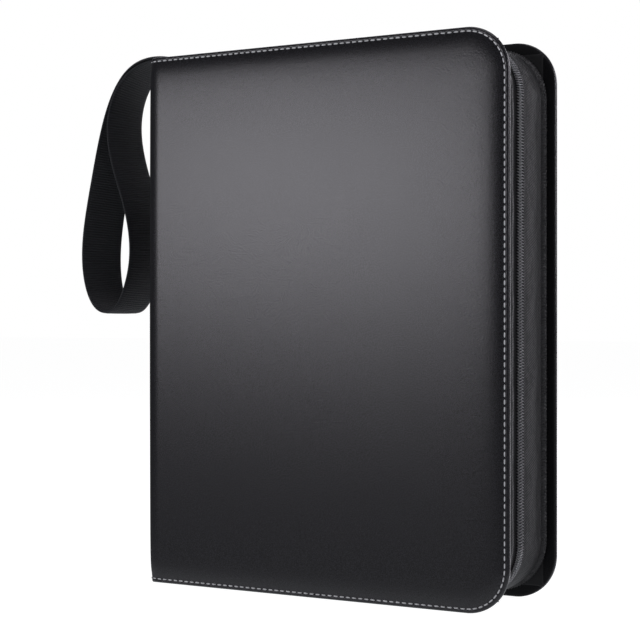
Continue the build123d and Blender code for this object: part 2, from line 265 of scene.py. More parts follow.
def cover_leather(name, side, material, margin):
    """The rim section carried round the open sides. Inside it the padded face goes on to the cover's middle line, and a
    second, hidden face closes the sheet behind the foam. The turned in margin takes a darker, duller copy of the
    leather: painted shade for the shadow that falls on it between the covers."""
    section = rim_section()
    run, x, z, out_x, out_z = open_sides(COVER_CORNER, CREASE_END, STITCH_PITCH / 6)
    inset, depth = section[:, :1], section[:, 1:]
    pulled = depth + seam_pull(inset, run) * (depth < 1.5)
    rim = np.stack([x - out_x * inset, pulled, z - out_z * inset], axis=-1)
    share = np.minimum(run, run[-1] - run) / (run[-1] / 2)
    middle_x = CREASE_END + 0.72 * (FORE_EDGE - PAD_EDGE - CREASE_END) * share
    inwards = np.array([0.03, 0.06, 0.1, 0.15, 0.22, 0.3, 0.4, 0.55, 0.75, 1.0])[:, None]
    face_x = rim[-1, :, 0] * (1 - inwards) + middle_x * inwards
    face_z = rim[-1, :, 2] * (1 - inwards) + MIDDLE * inwards
    face = np.stack([face_x, padded_depth(from_edge(face_x, face_z)), face_z], axis=-1)
    hidden = face[-1].copy()
    hidden[:, 1] = HIDDEN_DEPTH
    floor = rim[0].copy()
    floor[:, 1] = HIDDEN_DEPTH
    rows = np.concatenate([hidden[None], floor[None], rim, face])
    rows[..., 1] = side * (HALF - rows[..., 1])
    count, length = rows.shape[:2]
    ends = np.arange(count) * length
    faces = sheet_faces(count, length).tolist() + [ends.tolist() + (ends + length - 1)[::-1].tolist()]
    made = piece(name, rows, faces, material, merge=0.001, creased=60)
    made.data.materials.append(margin)
    middles = np.zeros(3 * len(made.data.polygons))
    made.data.polygons.foreach_get("center", middles)
    # Painted shade: the faces of the turned in margin get the darker copy of the leather.
    inside = HALF - side * middles.reshape(-1, 3)[:, 1] / MM > PANEL - 0.4
    made.data.polygons.foreach_set("material_index", inside.astype(np.int32))
    return made


def pebbled_with_painted_shade(material, fine, strength, distance, swing=0.03):
    """Gives a material the pressed grain of imitation leather: small rounded cells broken up by finer noise, with
    painted shade in the base colour that makes it lighter on top than down between them, and a gloss that varies slowly
    by the swing."""
    nodes, links = material.node_tree.nodes, material.node_tree.links
    shader = nodes["Principled BSDF"]
    place = nodes.new("ShaderNodeTexCoord")
    cells, dust, joined = (nodes.new(k) for k in ("ShaderNodeTexVoronoi", "ShaderNodeTexNoise", "ShaderNodeMath"))
    cells.feature = "SMOOTH_F1"
    cells.inputs["Scale"].default_value = fine
    dust.inputs["Scale"].default_value = fine * 1.7
    dust.inputs["Detail"].default_value = 3
    joined.operation = "ADD"
    bump = nodes.new("ShaderNodeBump")
    bump.inputs["Strength"].default_value = strength
    bump.inputs["Distance"].default_value = distance
    links.new(place.outputs["Object"], cells.inputs["Vector"])
    links.new(place.outputs["Object"], dust.inputs["Vector"])
    links.new(cells.outputs["Distance"], joined.inputs[0])
    links.new(dust.outputs["Fac"], joined.inputs[1])
    links.new(joined.outputs[0], bump.inputs["Height"])
    links.new(bump.outputs["Normal"], shader.inputs["Normal"])
    cloud, shine = nodes.new("ShaderNodeTexNoise"), nodes.new("ShaderNodeMapRange")
    cloud.inputs["Scale"].default_value = 60
    cloud.inputs["Detail"].default_value = 4
    base = shader.inputs["Roughness"].default_value
    shine.inputs["To Min"].default_value = base - swing
    shine.inputs["To Max"].default_value = base + swing
    links.new(place.outputs["Object"], cloud.inputs["Vector"])
    links.new(cloud.outputs["Fac"], shine.inputs["Value"])
    links.new(shine.outputs["Result"], shader.inputs["Roughness"])
    # Painted shade: the base colour follows the finer noise of the grain's height, dark down in its hollows and light
    # on top.
    tone = nodes.new("ShaderNodeValToRGB")
    colour = np.array(shader.inputs["Base Color"].default_value[:3])
    for stop, place_on, light in zip(tone.color_ramp.elements, (0.34, 0.66), (0.25, 2.0)):
        stop.position = place_on
        stop.color = (*(colour * light), 1)
    links.new(dust.outputs["Fac"], tone.inputs["Fac"])
    links.new(tone.outputs["Color"], shader.inputs["Base Color"])
    return material


cover_finish = pebbled_with_painted_shade(
    finish("cover_leather", Base_Color=(0.0125, 0.0120, 0.0150, 1), Roughness=0.27, Specular_IOR_Level=0.55),
    1050, 0.45, 0.00009, swing=0.006)

# A darker, duller copy of the cover leather for the turned in margin: painted shade for the shadow that lies there
# between the covers.
margin_painted_shade = pebbled_with_painted_shade(
    finish("margin_leather_painted_shade", Base_Color=(0.007, 0.007, 0.008, 1), Roughness=0.62, Specular_IOR_Level=0.2),
    1050, 0.5, 0.00010)

for name, side in SIDES:
    outside = cover_leather(f"{name}_cover_leather", side, cover_finish, margin_painted_shade)
    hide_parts(f"{name}_cover_skin")
    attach(outside, f"{name}_cover")

# ---------------------------------------------------------------- the spine and its two creases
# The same sheet of leather runs round the spine. Beside the spine there is no board in it, so that the real sheet bends
# there when a cover opens; here each side is one fixed, soft rounded crease strip that is not attached to a cover.

SPINE_SIDE = 31.0
CREASE_ROUND = 3.5
CREASE_WIDE = 9.0
CREASE_THINNED = 2.4
THREAD_ARCH = 0.14
THREAD_SUNK = 0.05


def edge_rows():
    """The rim section at the bottom and top of a strip, with plain rows between, as height from the foot and depth."""
    section = rim_section()
    low = section[:, 0]
    between = np.linspace(PAD_EDGE + 6, HEIGHT - PAD_EDGE - 6, 24)
    crown = padded_depth(np.minimum(between, HEIGHT - between))
    height = np.concatenate([low, between, HEIGHT - low[::-1]])
    depth = np.concatenate([section[:, 1], crown, section[::-1, 1]])
    return height, depth


def strip_leather(name, x, y, out_x, out_y, thick, material):
    """The rim section laid across a line in plan. Each row goes in from the line by its depth, scaled to the sheet's
    thickness there, and an inner face closes the strip."""
    height, depth = edge_rows()
    depth = np.repeat(depth[:, None], len(x), axis=1)
    sunk = np.where(depth > 0, depth * thick / PANEL, depth)
    outer = np.stack([x - out_x * sunk, y - out_y * sunk, np.repeat(height[:, None], len(x), axis=1)], axis=-1)
    return piece(name, outer, capped_band(*outer.shape[:2]), material, creased=60)


def crease_line(side):
    """The plan of a crease: along the spine's face, round a quarter of an ellipse and along the cover's face."""
    flat = np.linspace(SPINE_SIDE, HALF - CREASE_ROUND, 5)[:-1]
    turn = np.linspace(0, math.pi / 2, 19)
    across = np.linspace(SPINE_FACE + CREASE_WIDE, CREASE_END, 6)[1:]
    x = np.concatenate([np.full(4, SPINE_FACE), SPINE_FACE + CREASE_WIDE * (1 - np.cos(turn)), across])
    y = np.concatenate([flat, HALF - CREASE_ROUND * (1 - np.sin(turn)), np.full(5, HALF)])
    steep = np.hypot(np.cos(turn) * CREASE_ROUND, np.sin(turn) * CREASE_WIDE)
    out_x = np.concatenate([np.full(4, -1.0), -np.cos(turn) * CREASE_ROUND / steep, np.zeros(5)])
    out_y = np.concatenate([np.zeros(4), np.sin(turn) * CREASE_WIDE / steep, np.ones(5)])
    run = np.concatenate([[0], np.cumsum(np.hypot(np.diff(x), np.diff(y)))])
    bent = np.exp(-(((run - run[10]) / 3.5) ** 2))
    return x, side * y, out_x, side * out_y, PANEL - CREASE_THINNED * bent, run


def threads(name, centres, along, outwards, length, thickness, material):
    """One short round-ended thread at each centre. A thread is a ring of six carried along its length, with a radius
    that falls to nothing at both ends and a middle that stands a little proud of its ends."""
    step = np.linspace(-1, 1, 7)
    radius = thickness / 2 * np.sqrt(np.clip(1 - step ** 6, 0.02, 1))
    lift = THREAD_ARCH * (1 - step ** 2) - THREAD_SUNK
    angle = np.arange(6) * math.pi / 3
    across = np.cross(along, outwards)
    points = (centres[:, None, None, :]
              + along[:, None, None, :] * (step * length / 2)[None, :, None, None]
              + outwards[:, None, None, :] * (lift[:, None] + radius[:, None] * np.sin(angle))[None, :, :, None]
              + across[:, None, None, :] * (radius[:, None] * np.cos(angle))[None, :, :, None])
    one = sheet_faces(7, 6, wrap_columns=True).tolist() + [[0, 1, 2, 3, 4, 5], [41, 40, 39, 38, 37, 36]]
    shift = 42 * np.arange(len(centres))
    quads = (np.array(one[:-2])[None] + shift[:, None, None]).reshape(-1, 4).tolist()
    caps = (np.array(one[-2:])[None] + shift[:, None, None]).reshape(-1, 6).tolist()
    return piece(name, points, quads + caps, material)


def sewing_thread():
    """Pale grey twisted thread, its fibres as a fine bump."""
    material = finish("seam_thread", Base_Color=(0.78, 0.78, 0.79, 1), Roughness=0.6, Sheen_Weight=0.5)
    nodes, links = material.node_tree.nodes, material.node_tree.links
    place, twist, bump = (nodes.new(k) for k in ("ShaderNodeTexCoord", "ShaderNodeTexNoise", "ShaderNodeBump"))
    twist.inputs["Scale"].default_value = 4000
    bump.inputs["Strength"].default_value = 0.5
    bump.inputs["Distance"].default_value = 0.00008
    links.new(place.outputs["Object"], twist.inputs["Vector"])
    links.new(twist.outputs["Fac"], bump.inputs["Height"])
    links.new(bump.outputs["Normal"], nodes["Principled BSDF"].inputs["Normal"])
    return material


SEAM_DEPTH = 0.66
STITCH_LONG = 3.15
STITCH_THICK = 0.86
thread_finish = sewing_thread()

for name, side in SIDES:
    run, x, z, out_x, out_z = open_sides(COVER_CORNER, CREASE_END, STITCH_PITCH)
    run, x, z, out_x, out_z = (v[:-1] + np.diff(v) / 2 for v in (run, x, z, out_x, out_z))
    still = np.zeros_like(x)
    centres = np.stack([x - out_x * SEAM, still + side * (HALF - SEAM_DEPTH), z - out_z * SEAM], axis=-1)
    along = np.stack([out_z, still, -out_x], axis=-1)
    seam = threads(f"{name}_cover_seam", centres, along, np.stack([still, still + side, still], axis=-1),
                   STITCH_LONG, STITCH_THICK, thread_finish)
    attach(seam, f"{name}_cover")

    x, y, out_x, out_y, thick, run = crease_line(side)
    crease = strip_leather(f"{name}_crease_leather", x, y, out_x, out_y, thick, cover_finish)
    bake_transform(crease)

    spots = np.arange(run[-1] - STITCH_PITCH / 2, 0, -STITCH_PITCH)
    plan = [np.interp(spots, run, v) for v in (x, y, out_x, out_y, thick)]
    ahead = [np.interp(spots + 0.05, run, v) for v in (x, y)]
    centres, along, outwards = [], [], []
    for height in (SEAM, HEIGHT - SEAM):
        depth = SEAM_DEPTH * plan[4] / PANEL
        centres.append(np.stack([plan[0] - plan[2] * depth, plan[1] - plan[3] * depth, 0 * spots + height], axis=-1))
        way = np.stack([ahead[0] - plan[0], ahead[1] - plan[1], 0 * spots], axis=-1)
        along.append(way / np.maximum(np.linalg.norm(way, axis=-1, keepdims=True), 1e-6))
        outwards.append(np.stack([plan[2], plan[3], 0 * spots], axis=-1))
    crease_seam = threads(f"{name}_crease_seam", *(np.concatenate(v) for v in (centres, along, outwards)),
                          STITCH_LONG, STITCH_THICK, thread_finish)
    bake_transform(crease_seam)

across = np.linspace(-SPINE_SIDE, SPINE_SIDE, 41)
flat = np.zeros_like(across)
spine = strip_leather("spine_leather", flat + SPINE_FACE, across, flat - 1, flat, flat + PANEL, cover_finish)
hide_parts("spine_skin")
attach(spine, "spine")
spots = np.arange(-SPINE_SIDE + STITCH_PITCH / 2, SPINE_SIDE, STITCH_PITCH)
level = np.zeros_like(spots)
spine_seam = threads(
    "spine_seam",
    np.concatenate([np.stack([level + SPINE_FACE + SEAM_DEPTH, spots, level + h], axis=-1)
                    for h in (SEAM, HEIGHT - SEAM)]),
    np.tile([0.0, 1.0, 0.0], (2 * len(spots), 1)), np.tile([-1.0, 0.0, 0.0], (2 * len(spots), 1)),
    STITCH_LONG, STITCH_THICK, thread_finish)
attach(spine_seam, "spine")

# ---------------------------------------------------------------- the gusset walls
# A wall of thinner leather stands on each cover's inner margin. Its foot is turned out and sewn to the cover as a
# lumpy rib with a groove beside it, its panel is gathered a little, and its other edge is folded over the zip tape.

TRACK_CORNER = 38.0
WALL_FACE = 6.0
WALL_THICK = 1.4
ZIP_Y = -7.3
FRONT_WALL_EDGE = ZIP_Y - 8.3
BACK_WALL_EDGE = ZIP_Y + 4.9
WALL_FOOT = HALF - PANEL
WALL_START = 3.0
HEM_AT = 2.4
GROOVE_AT = 6.7
RIB_AT = 3.7
PANEL_PUFF = 0.9
RIB_PITCH = 2.32
RIB_LUMP = 0.45
GATHER_PITCH = 2.3


def wall_section(edge, side):
    """The wall's outer face from the folded zip edge to the foot, as (distance from the middle, proud of the wall)."""
    reach = WALL_FOOT - side * edge
    across = np.linspace(0, reach, 38)
    fold = -1.1 * np.clip(1 - across / 0.9, 0, 1) ** 2
    hem = -0.32 * np.exp(-(((across - HEM_AT) / 0.5) ** 2))
    panel = PANEL_PUFF * np.sin(math.pi * np.clip((across - HEM_AT) / (reach - 12.2), 0, 1)) ** 0.8
    groove = -2.4 * np.exp(-(((reach - across - GROOVE_AT) / 0.85) ** 2))
    rib = 1.5 * np.exp(-(((reach - across - RIB_AT) / 1.4) ** 4))
    foot = -0.3 * np.exp(-((reach - across) / 0.8) ** 2)
    return side * edge + across, fold + hem + panel + groove + rib + foot


def lay_uv(made, along, across):
    """A UV map in millimetres from one value along and one across for each point."""
    layer = made.data.uv_layers.new(name="cloth")
    corner = np.zeros(len(made.data.loops), np.int32)
    made.data.loops.foreach_get("vertex_index", corner)
    layer.data.foreach_set("uv", np.stack([along[corner], across[corner]], axis=1).astype(np.float32).ravel())
    return made


def gathered(material, pitch, slant):
    """Adds the fine creases of gathered leather to the grain: slanting waves on the piece's own UV map, warped and
    broken up by noise so that no two are alike."""
    nodes, links = material.node_tree.nodes, material.node_tree.links
    place, lean, wave, patch, fade, deep, crease = (nodes.new(k) for k in (
        "ShaderNodeUVMap", "ShaderNodeMapping", "ShaderNodeTexWave", "ShaderNodeTexNoise", "ShaderNodeMapRange",
        "ShaderNodeMath", "ShaderNodeBump"))
    lean.inputs["Rotation"].default_value = (0, 0, math.radians(slant))
    wave.bands_direction = "X"
    wave.inputs["Scale"].default_value = math.pi / 10 / pitch
    wave.inputs["Distortion"].default_value = 2.6
    wave.inputs["Detail Scale"].default_value = 1.6
    patch.inputs["Scale"].default_value = 0.22
    patch.inputs["Detail"].default_value = 3
    fade.inputs["From Min"].default_value, fade.inputs["From Max"].default_value = 0.36, 0.62
    deep.operation = "MULTIPLY"
    crease.inputs["Strength"].default_value = 0.9
    crease.inputs["Distance"].default_value = 0.0005
    grain = next(node for node in nodes if node.type == "BUMP" and node != crease)
    links.new(place.outputs["UV"], lean.inputs["Vector"])
    links.new(place.outputs["UV"], patch.inputs["Vector"])
    links.new(lean.outputs["Vector"], wave.inputs["Vector"])
    links.new(patch.outputs["Fac"], fade.inputs["Value"])
    links.new(wave.outputs["Fac"], deep.inputs[0])
    links.new(fade.outputs["Result"], deep.inputs[1])
    links.new(deep.outputs[0], crease.inputs["Height"])
    links.new(crease.outputs["Normal"], grain.inputs["Normal"])
    return material


def gusset_wall(name, side, edge, material):
    """The wall's section carried round the open sides. Slanting sine gathers run over the panel, strongest at the two
    corners, a cosine lump stands between the rib's stitches, and two slow sines make the panel wavy."""
    run, x, z, out_x, out_z = open_sides(TRACK_CORNER, WALL_START, 0.58)
    away, proud = wall_section(edge, side)
    reach = WALL_FOOT - side * edge
    across = (away - side * edge)[:, None]
    corner = np.abs(out_x * out_z * 2)[None, :]
    on_panel = np.sin(math.pi * np.clip(across / (reach - 9.5), 0, 1))
    on_rib = np.exp(-(((reach - across - 4.1) / 1.2) ** 2))
    gathers = (0.02 + 0.10 * corner) * on_panel * np.sin(2 * math.pi * (run[None, :] + 0.5 * across) / GATHER_PITCH)
    lumps = RIB_LUMP * on_rib * np.cos(2 * math.pi * run[None, :] / RIB_PITCH)
    waves = 0.35 * on_panel * np.sin(run[None, :] / 17.0) * np.sin(run[None, :] / 6.1 + across / 5)
    rise = proud[:, None] + gathers + lumps + waves
    inset = WALL_FACE - rise
    face = np.stack([x - out_x * inset, np.broadcast_to(side * away[:, None], inset.shape), z - out_z * inset], axis=-1)
    under = WALL_FACE + WALL_THICK
    lining = np.stack([
        np.stack([x - out_x * under, np.full_like(x, side * y), z - out_z * under], axis=-1)
        for y in (away[-1], (away[-1] + away[0]) / 2, away[0])])
    rows = np.concatenate([face, lining])
    count, length = rows.shape[:2]
    made = piece(name, rows, capped_band(count, length), material, creased=70)
    return lay_uv(made, np.tile(run, count), np.repeat(np.append(side * away, [reach, reach / 2, 0]), length))


gusset_finish = gathered(pebbled_with_painted_shade(
    finish("gusset_leather", Base_Color=(0.010, 0.010, 0.011, 1), Roughness=0.5, Specular_IOR_Level=0.5),
    1100, 0.55, 0.00014), 1.5, -28)

for name, side, edge in (("front", -1, FRONT_WALL_EDGE), ("back", 1, BACK_WALL_EDGE)):
    wall = gusset_wall(f"{name}_gusset_leather", side, edge, gusset_finish)
    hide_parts(f"{name}_gusset")
    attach(wall, f"{name}_cover")

# ---------------------------------------------------------------- the zip
# A number five coil zip. Each half is a woven polyester tape with one edge of a wound nylon coil sewn along it. The
# coils are wound in opposite hands, and their loops pass into each other where the zip is closed.

TAPE_FACE = WALL_FACE + WALL_THICK
TAPE_THICK = 0.6
TAPE_WIDE = 13.5
TAPE_START = 14.0
COIL_PITCH = 1.8
COIL_HALF_WIDE = 1.52
COIL_HALF_HIGH = 1.12
COIL_WIRE = 0.32
COIL_OUT = 1.66
COIL_SUNK = 0.35
COIL_LEAN = 0.13


def woven(material, across, along, strength, distance):
    """Gives a material a plain weave that follows the piece's own UV map: ribs across and threads along."""
    nodes, links = material.node_tree.nodes, material.node_tree.links
    place, ribs, yarns, joined, bump = (nodes.new(k) for k in (
        "ShaderNodeUVMap", "ShaderNodeTexWave", "ShaderNodeTexWave", "ShaderNodeMath", "ShaderNodeBump"))
    for wave, axis, count in ((ribs, "X", along), (yarns, "Y", across)):
        wave.bands_direction = axis
        wave.inputs["Scale"].default_value = count / 20
        wave.inputs["Distortion"].default_value = 0.4
        links.new(place.outputs["UV"], wave.inputs["Vector"])
    joined.operation = "MULTIPLY"
    links.new(ribs.outputs["Fac"], joined.inputs[0])
    links.new(yarns.outputs["Fac"], joined.inputs[1])
    bump.inputs["Strength"].default_value = strength
    bump.inputs["Distance"].default_value = distance
    links.new(joined.outputs[0], bump.inputs["Height"])
    links.new(bump.outputs["Normal"], nodes["Principled BSDF"].inputs["Normal"])
    return material


def zip_tape(name, side, material):
    """A thin band under the wall, with a raised bead along the edge that carries the coil."""
    run, x, z, out_x, out_z = open_sides(TRACK_CORNER, TAPE_START, 2.0)
    across = np.concatenate([np.linspace(0.6, 3.6, 9), np.linspace(4.2, TAPE_WIDE, 8)])
    bead = 0.22 * np.exp(-(((across - 0.9) / 0.35) ** 2))
    top = np.stack([across, TAPE_FACE - bead], axis=1)
    under = np.stack([across[::-4], np.full(len(across[::-4]), TAPE_FACE + TAPE_THICK)], axis=1)
    section = np.vstack([top, under])
    inset = section[:, 1:]
    rows = np.stack([x - out_x * inset, np.broadcast_to(ZIP_Y + side * section[:, :1], (len(section), len(x))),
                     z - out_z * inset], axis=-1)
    count, length = rows.shape[:2]
    made = piece(name, rows, capped_band(count, length), material, creased=50)
    return lay_uv(made, np.tile(run, count), np.repeat(section[:, 0], length))


def zip_coil(name, side, start, material):
    """A wire wound as a flattened helix along the tape: going round, it leans forward over the top and back
    underneath, so that the two coils together make small arrow shapes."""
    run, x, z, out_x, out_z = open_sides(TRACK_CORNER, start, 0.5)
    turns = round((run[-1] - 2) / COIL_PITCH)
    phase = np.linspace(0, 2 * math.pi * turns, turns * 12 + 1)
    offset = 0.5 * COIL_PITCH if side > 0 else 0.0
    along = 1 + COIL_PITCH * phase / (2 * math.pi) + offset + COIL_LEAN * COIL_PITCH * np.sin(2 * phase)
    reach = COIL_OUT + COIL_HALF_WIDE * np.cos(phase)
    inset = TAPE_FACE - COIL_SUNK - COIL_HALF_HIGH * (1 + np.sin(phase))
    here = [np.interp(along, run, v) for v in (x, z, out_x, out_z)]
    line = np.stack([here[0] - here[2] * inset, ZIP_Y + side * reach, here[1] - here[3] * inset], axis=-1)
    way = np.gradient(line, axis=0)
    way /= np.linalg.norm(way, axis=1, keepdims=True)
    hub = np.stack([here[2], 0 * along, here[3]], axis=-1)
    flat = np.cross(way, hub)
    flat /= np.maximum(np.linalg.norm(flat, axis=1, keepdims=True), 1e-6)
    rise = np.cross(flat, way)
    angle = np.arange(5) * 2 * math.pi / 5
    ring = line[:, None] + COIL_WIRE * (flat[:, None] * np.cos(angle)[:, None] + rise[:, None] * np.sin(angle)[:, None])
    return piece(name, ring, capped_tube(len(line), 5), material)


def coil_nylon():
    """Glossy drawn nylon with a gloss that varies finely."""
    material = finish("coil_nylon", Base_Color=(0.27, 0.27, 0.28, 1), Roughness=0.22, Coat_Weight=0.6)
    nodes, links = material.node_tree.nodes, material.node_tree.links
    place, haze, gloss = (nodes.new(k) for k in ("ShaderNodeTexCoord", "ShaderNodeTexNoise", "ShaderNodeMapRange"))
    haze.inputs["Scale"].default_value = 900
    gloss.inputs["To Min"].default_value = 0.18
    gloss.inputs["To Max"].default_value = 0.36
    links.new(place.outputs["Object"], haze.inputs["Vector"])
    links.new(haze.outputs["Fac"], gloss.inputs["Value"])
    links.new(gloss.outputs["Result"], nodes["Principled BSDF"].inputs["Roughness"])
    return material


tape_finish = woven(finish("zip_tape_weave", Base_Color=(0.005, 0.005, 0.006, 1), Roughness=0.85,
                           Specular_IOR_Level=0.2, Sheen_Weight=0.06, Sheen_Roughness=0.5), 34, 34, 0.8, 0.00025)
coil_finish = coil_nylon()

for name, side, start in (("front", -1, 33.0), ("back", 1, 19.0)):
    tape = zip_tape(f"{name}_zip_weave", side, tape_finish)
    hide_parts(f"{name}_zip_tape")
    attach(tape, f"{name}_cover")
    coil = zip_coil(f"{name}_zip_teeth", side, start, coil_finish)
    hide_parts(f"{name}_zip_coil")
    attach(coil, f"{name}_cover")


def cast(name, colour, metallic, rough, spread, scale, strength, **extra):
    """A moulded or metal finish whose gloss and surface vary a little with fine noise."""
    material = finish(name, Base_Color=(*colour, 1), Metallic=metallic, Roughness=rough, **extra)
    nodes, links = material.node_tree.nodes, material.node_tree.links
    place, mottle, gloss, bump = (nodes.new(k) for k in (
        "ShaderNodeTexCoord", "ShaderNodeTexNoise", "ShaderNodeMapRange", "ShaderNodeBump"))
    mottle.inputs["Scale"].default_value = scale
    mottle.inputs["Detail"].default_value = 3
    gloss.inputs["To Min"].default_value = rough - spread
    gloss.inputs["To Max"].default_value = rough + spread
    bump.inputs["Strength"].default_value = strength
    bump.inputs["Distance"].default_value = 0.00005
    links.new(place.outputs["Object"], mottle.inputs["Vector"])
    links.new(mottle.outputs["Fac"], gloss.inputs["Value"])
    links.new(gloss.outputs["Result"], nodes["Principled BSDF"].inputs["Roughness"])
    links.new(mottle.outputs["Fac"], bump.inputs["Height"])
    links.new(bump.outputs["Normal"], nodes["Principled BSDF"].inputs["Normal"])
    return material


def dress(names, material):
    """Gives CAD nodes a material."""
    for name in names:
        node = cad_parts[name]
        node.data.materials.clear()
        node.data.materials.append(material)


dress(("zip_slider", "zip_pull", "front_zip_stop", "back_zip_stops"),
      cast("black_painted_zinc", (0.015, 0.015, 0.016), 0.35, 0.3, 0.08, 700, 0.3, Coat_Weight=0.4))
dress(("zip_end_top", "zip_end_bottom"), gusset_finish)

# ---------------------------------------------------------------- the wrist strap
# One length of black polypropylene webbing, 30 mm wide, ribbed across. It comes up out of the top of the spine, hangs
# down beside it as an open loop and goes back up, and both its ends are box stitched into the spine.

STRAP_WIDE = 30.0
STRAP_THICK = 1.6
RIB = 1.7
RIB_HIGH = 0.34
RIB_SUNK = 0.10
CUPPED = 0.5
ROOT_TOP = 353.95
ROOT_UNDER = 349.6
ROOT_LONG = 4.4
STRAP_POINTS = [
    # out from the spine's face, height, towards the back, turn of the webbing in degrees
    (0.3, 353.2, 0, 0), (8, 355.3, 0, 0), (24, 355.6, 0, 4), (41.2, 343, 0, 12), (53.4, 315, 0, 20),
    (62.7, 270, 0, 25), (69.9, 236, 0, 28), (70.9, 208, 0, 26), (63.7, 183, 0, 17), (48.5, 178, 0, 10),
    (37.2, 189, -1, 10), (26.2, 218, -2, 13), (30.2, 251, -3, 16), (42.2, 281, -4, 18), (48.7, 312, -4, 16),
    (40.2, 340, -2, 10), (21, 352.6, 0, 2), (8, 352, 0, 0), (0.3, 351.4, 0, 0)]


def smooth_line(points, count):
    """A cubic B-spline that starts and ends at the first and last points, by the blending functions' recurrence."""
    points, degree = np.asarray(points, float), 3
    knots = np.concatenate([np.zeros(degree), np.linspace(0, 1, len(points) - degree + 1), np.ones(degree)])
    place = np.clip(np.linspace(0, 1, count), 0, 1 - 1e-9)[:, None]
    share = ((place >= knots[:-1]) & (place < knots[1:])).astype(float)
    for k in range(1, degree + 1):
        rising, falling = knots[k:-1] - knots[:-k - 1], knots[k + 1:] - knots[1:-k]
        up = np.where(rising > 0, (place - knots[:-k - 1]) / np.where(rising > 0, rising, 1), 0)
        down = np.where(falling > 0, (knots[k + 1:] - place) / np.where(falling > 0, falling, 1), 0)
        share = up * share[:, :-1] + down * share[:, 1:]
    return share @ points


def webbing(name, points, material):
    """A ribbon carried along the line, its width turned as the points say. Its two faces rise and fall as the absolute
    sine of the run, one rib to each pick of the weave, and its selvedges are rolled to half a circle."""
    fine = smooth_line(points, 2400)
    route = np.stack([SPINE_FACE - fine[:, 0], fine[:, 2], fine[:, 1]], axis=-1)
    measure = np.concatenate([[0], np.cumsum(np.linalg.norm(np.diff(route, axis=0), axis=1))])
    run = np.linspace(0, measure[-1], round(measure[-1] / (RIB / 6)) + 1)
    line = np.stack([np.interp(run, measure, route[:, k]) for k in range(3)], axis=-1)
    turn = np.radians(np.interp(run, measure, fine[:, 3]))
    way = np.gradient(line, axis=0)
    way /= np.linalg.norm(way, axis=1, keepdims=True)
    wide = np.stack([np.sin(turn), np.cos(turn), 0 * turn], axis=-1)
    wide -= way * np.sum(wide * way, axis=1, keepdims=True)
    wide /= np.linalg.norm(wide, axis=1, keepdims=True)
    up = np.cross(way, wide)
    flat = np.linspace(-1, 1, 15)
    bend = np.radians([-60, -30, 0, 30, 60])
    edge, half = STRAP_WIDE / 2 - STRAP_THICK / 2, STRAP_THICK / 2
    across = np.concatenate([flat * edge, edge + half * np.cos(bend[::-1]), -flat * edge, -edge - half * np.cos(bend)])
    high = np.concatenate([flat * 0 + half, half * np.sin(bend[::-1]), flat * 0 - half, half * np.sin(bend)])
    on_face = np.clip((edge - np.abs(across)) / 1.2, 0, 1) * np.sign(high)
    rib = RIB_HIGH * np.abs(np.sin(math.pi * run / RIB))[:, None] * on_face - RIB_SUNK * on_face
    cup = CUPPED * (across / edge) ** 2
    rows = line[:, None] + wide[:, None] * across[:, None] + up[:, None] * (high + cup + rib)[..., None]
    count, length = rows.shape[:2]
    made = piece(name, rows, capped_tube(count, length), material, creased=75)
    return lay_uv(made, np.repeat(run, length), np.tile(across, count)), measure[-1]


def ribbed_with_painted_shade(material, pitch, valley, crest):
    """Paints shade into the base colour along the webbing's ribs: painted shade down between them, the yarn's own
    colour on top.
    """
    nodes, links = material.node_tree.nodes, material.node_tree.links
    place, wave, tone = (nodes.new(k) for k in ("ShaderNodeUVMap", "ShaderNodeTexWave", "ShaderNodeValToRGB"))
    wave.bands_direction = "X"
    wave.inputs["Scale"].default_value = math.pi / 10 / pitch
    wave.inputs["Distortion"].default_value = 0.3
    # The valley colour is painted shade between the ribs; the crest colour is the yarn's own.
    for stop, colour in zip(tone.color_ramp.elements, (valley, crest)):
        stop.color = (*colour, 1)
    links.new(place.outputs["UV"], wave.inputs["Vector"])
    links.new(wave.outputs["Fac"], tone.inputs["Fac"])
    links.new(tone.outputs["Color"], nodes["Principled BSDF"].inputs["Base Color"])
    return material


# The webbing's base colour carries painted shade in the valleys between its ribs.
webbing_finish = ribbed_with_painted_shade(woven(finish("webbing_weave", Base_Color=(0.0055, 0.0062, 0.0080, 1), Roughness=0.66,
                              Sheen_Weight=0.12, Sheen_Roughness=0.45), 18, 13, 0.5, 0.0002),
                        RIB, (0.0005, 0.0006, 0.0010), (0.016, 0.018, 0.024))
strap, strap_long = webbing("wrist_strap_webbing", STRAP_POINTS, webbing_finish)
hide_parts("wrist_strap")
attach(strap, "wrist_strap")


def strap_ends(name, material):
    """The doubled ends over the spine's top edge: a ribbed pad that rounds down into the spine's seam."""
    along = np.linspace(0, 1, 19)
    x = 1.9 - ROOT_LONG * along
    top = ROOT_TOP - 3.6 * np.clip(1 - along / 0.42, 0, 1) ** 2.2
    across = np.linspace(-STRAP_WIDE / 2, STRAP_WIDE / 2, 31)
    rounded = 0.8 * np.clip((np.abs(across) - STRAP_WIDE / 2 + 0.8) / 0.8, 0, 1) ** 2
    weave = 0.10 * np.abs(np.sin(math.pi * along * ROOT_LONG / RIB))
    upper = top[:, None] + weave[:, None] - rounded[None, :]
    grid = np.stack([np.broadcast_to(x[:, None], upper.shape), np.broadcast_to(across, upper.shape), upper], axis=-1)
    under = grid[:, ::-1].copy()
    under[..., 2] = ROOT_UNDER
    rows = np.concatenate([grid, under], axis=1)
    count, length = rows.shape[:2]
    made = piece(name, rows, capped_tube(count, length), material, creased=60)
    return lay_uv(made, np.repeat(along * 5, length), np.tile(np.concatenate([across, across[::-1]]), count))


root = strap_ends("strap_root_webbing", webbing_finish)
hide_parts("strap_root")
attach(root, "spine")

# ---------------------------------------------------------------- the ring mechanism
# A nickel plated sheet steel housing holds two spring steel blades that carry three pairs of half rings. It is fixed
# to the spine with two rivets, and a steel arm with a moulded black pad at each end opens it.

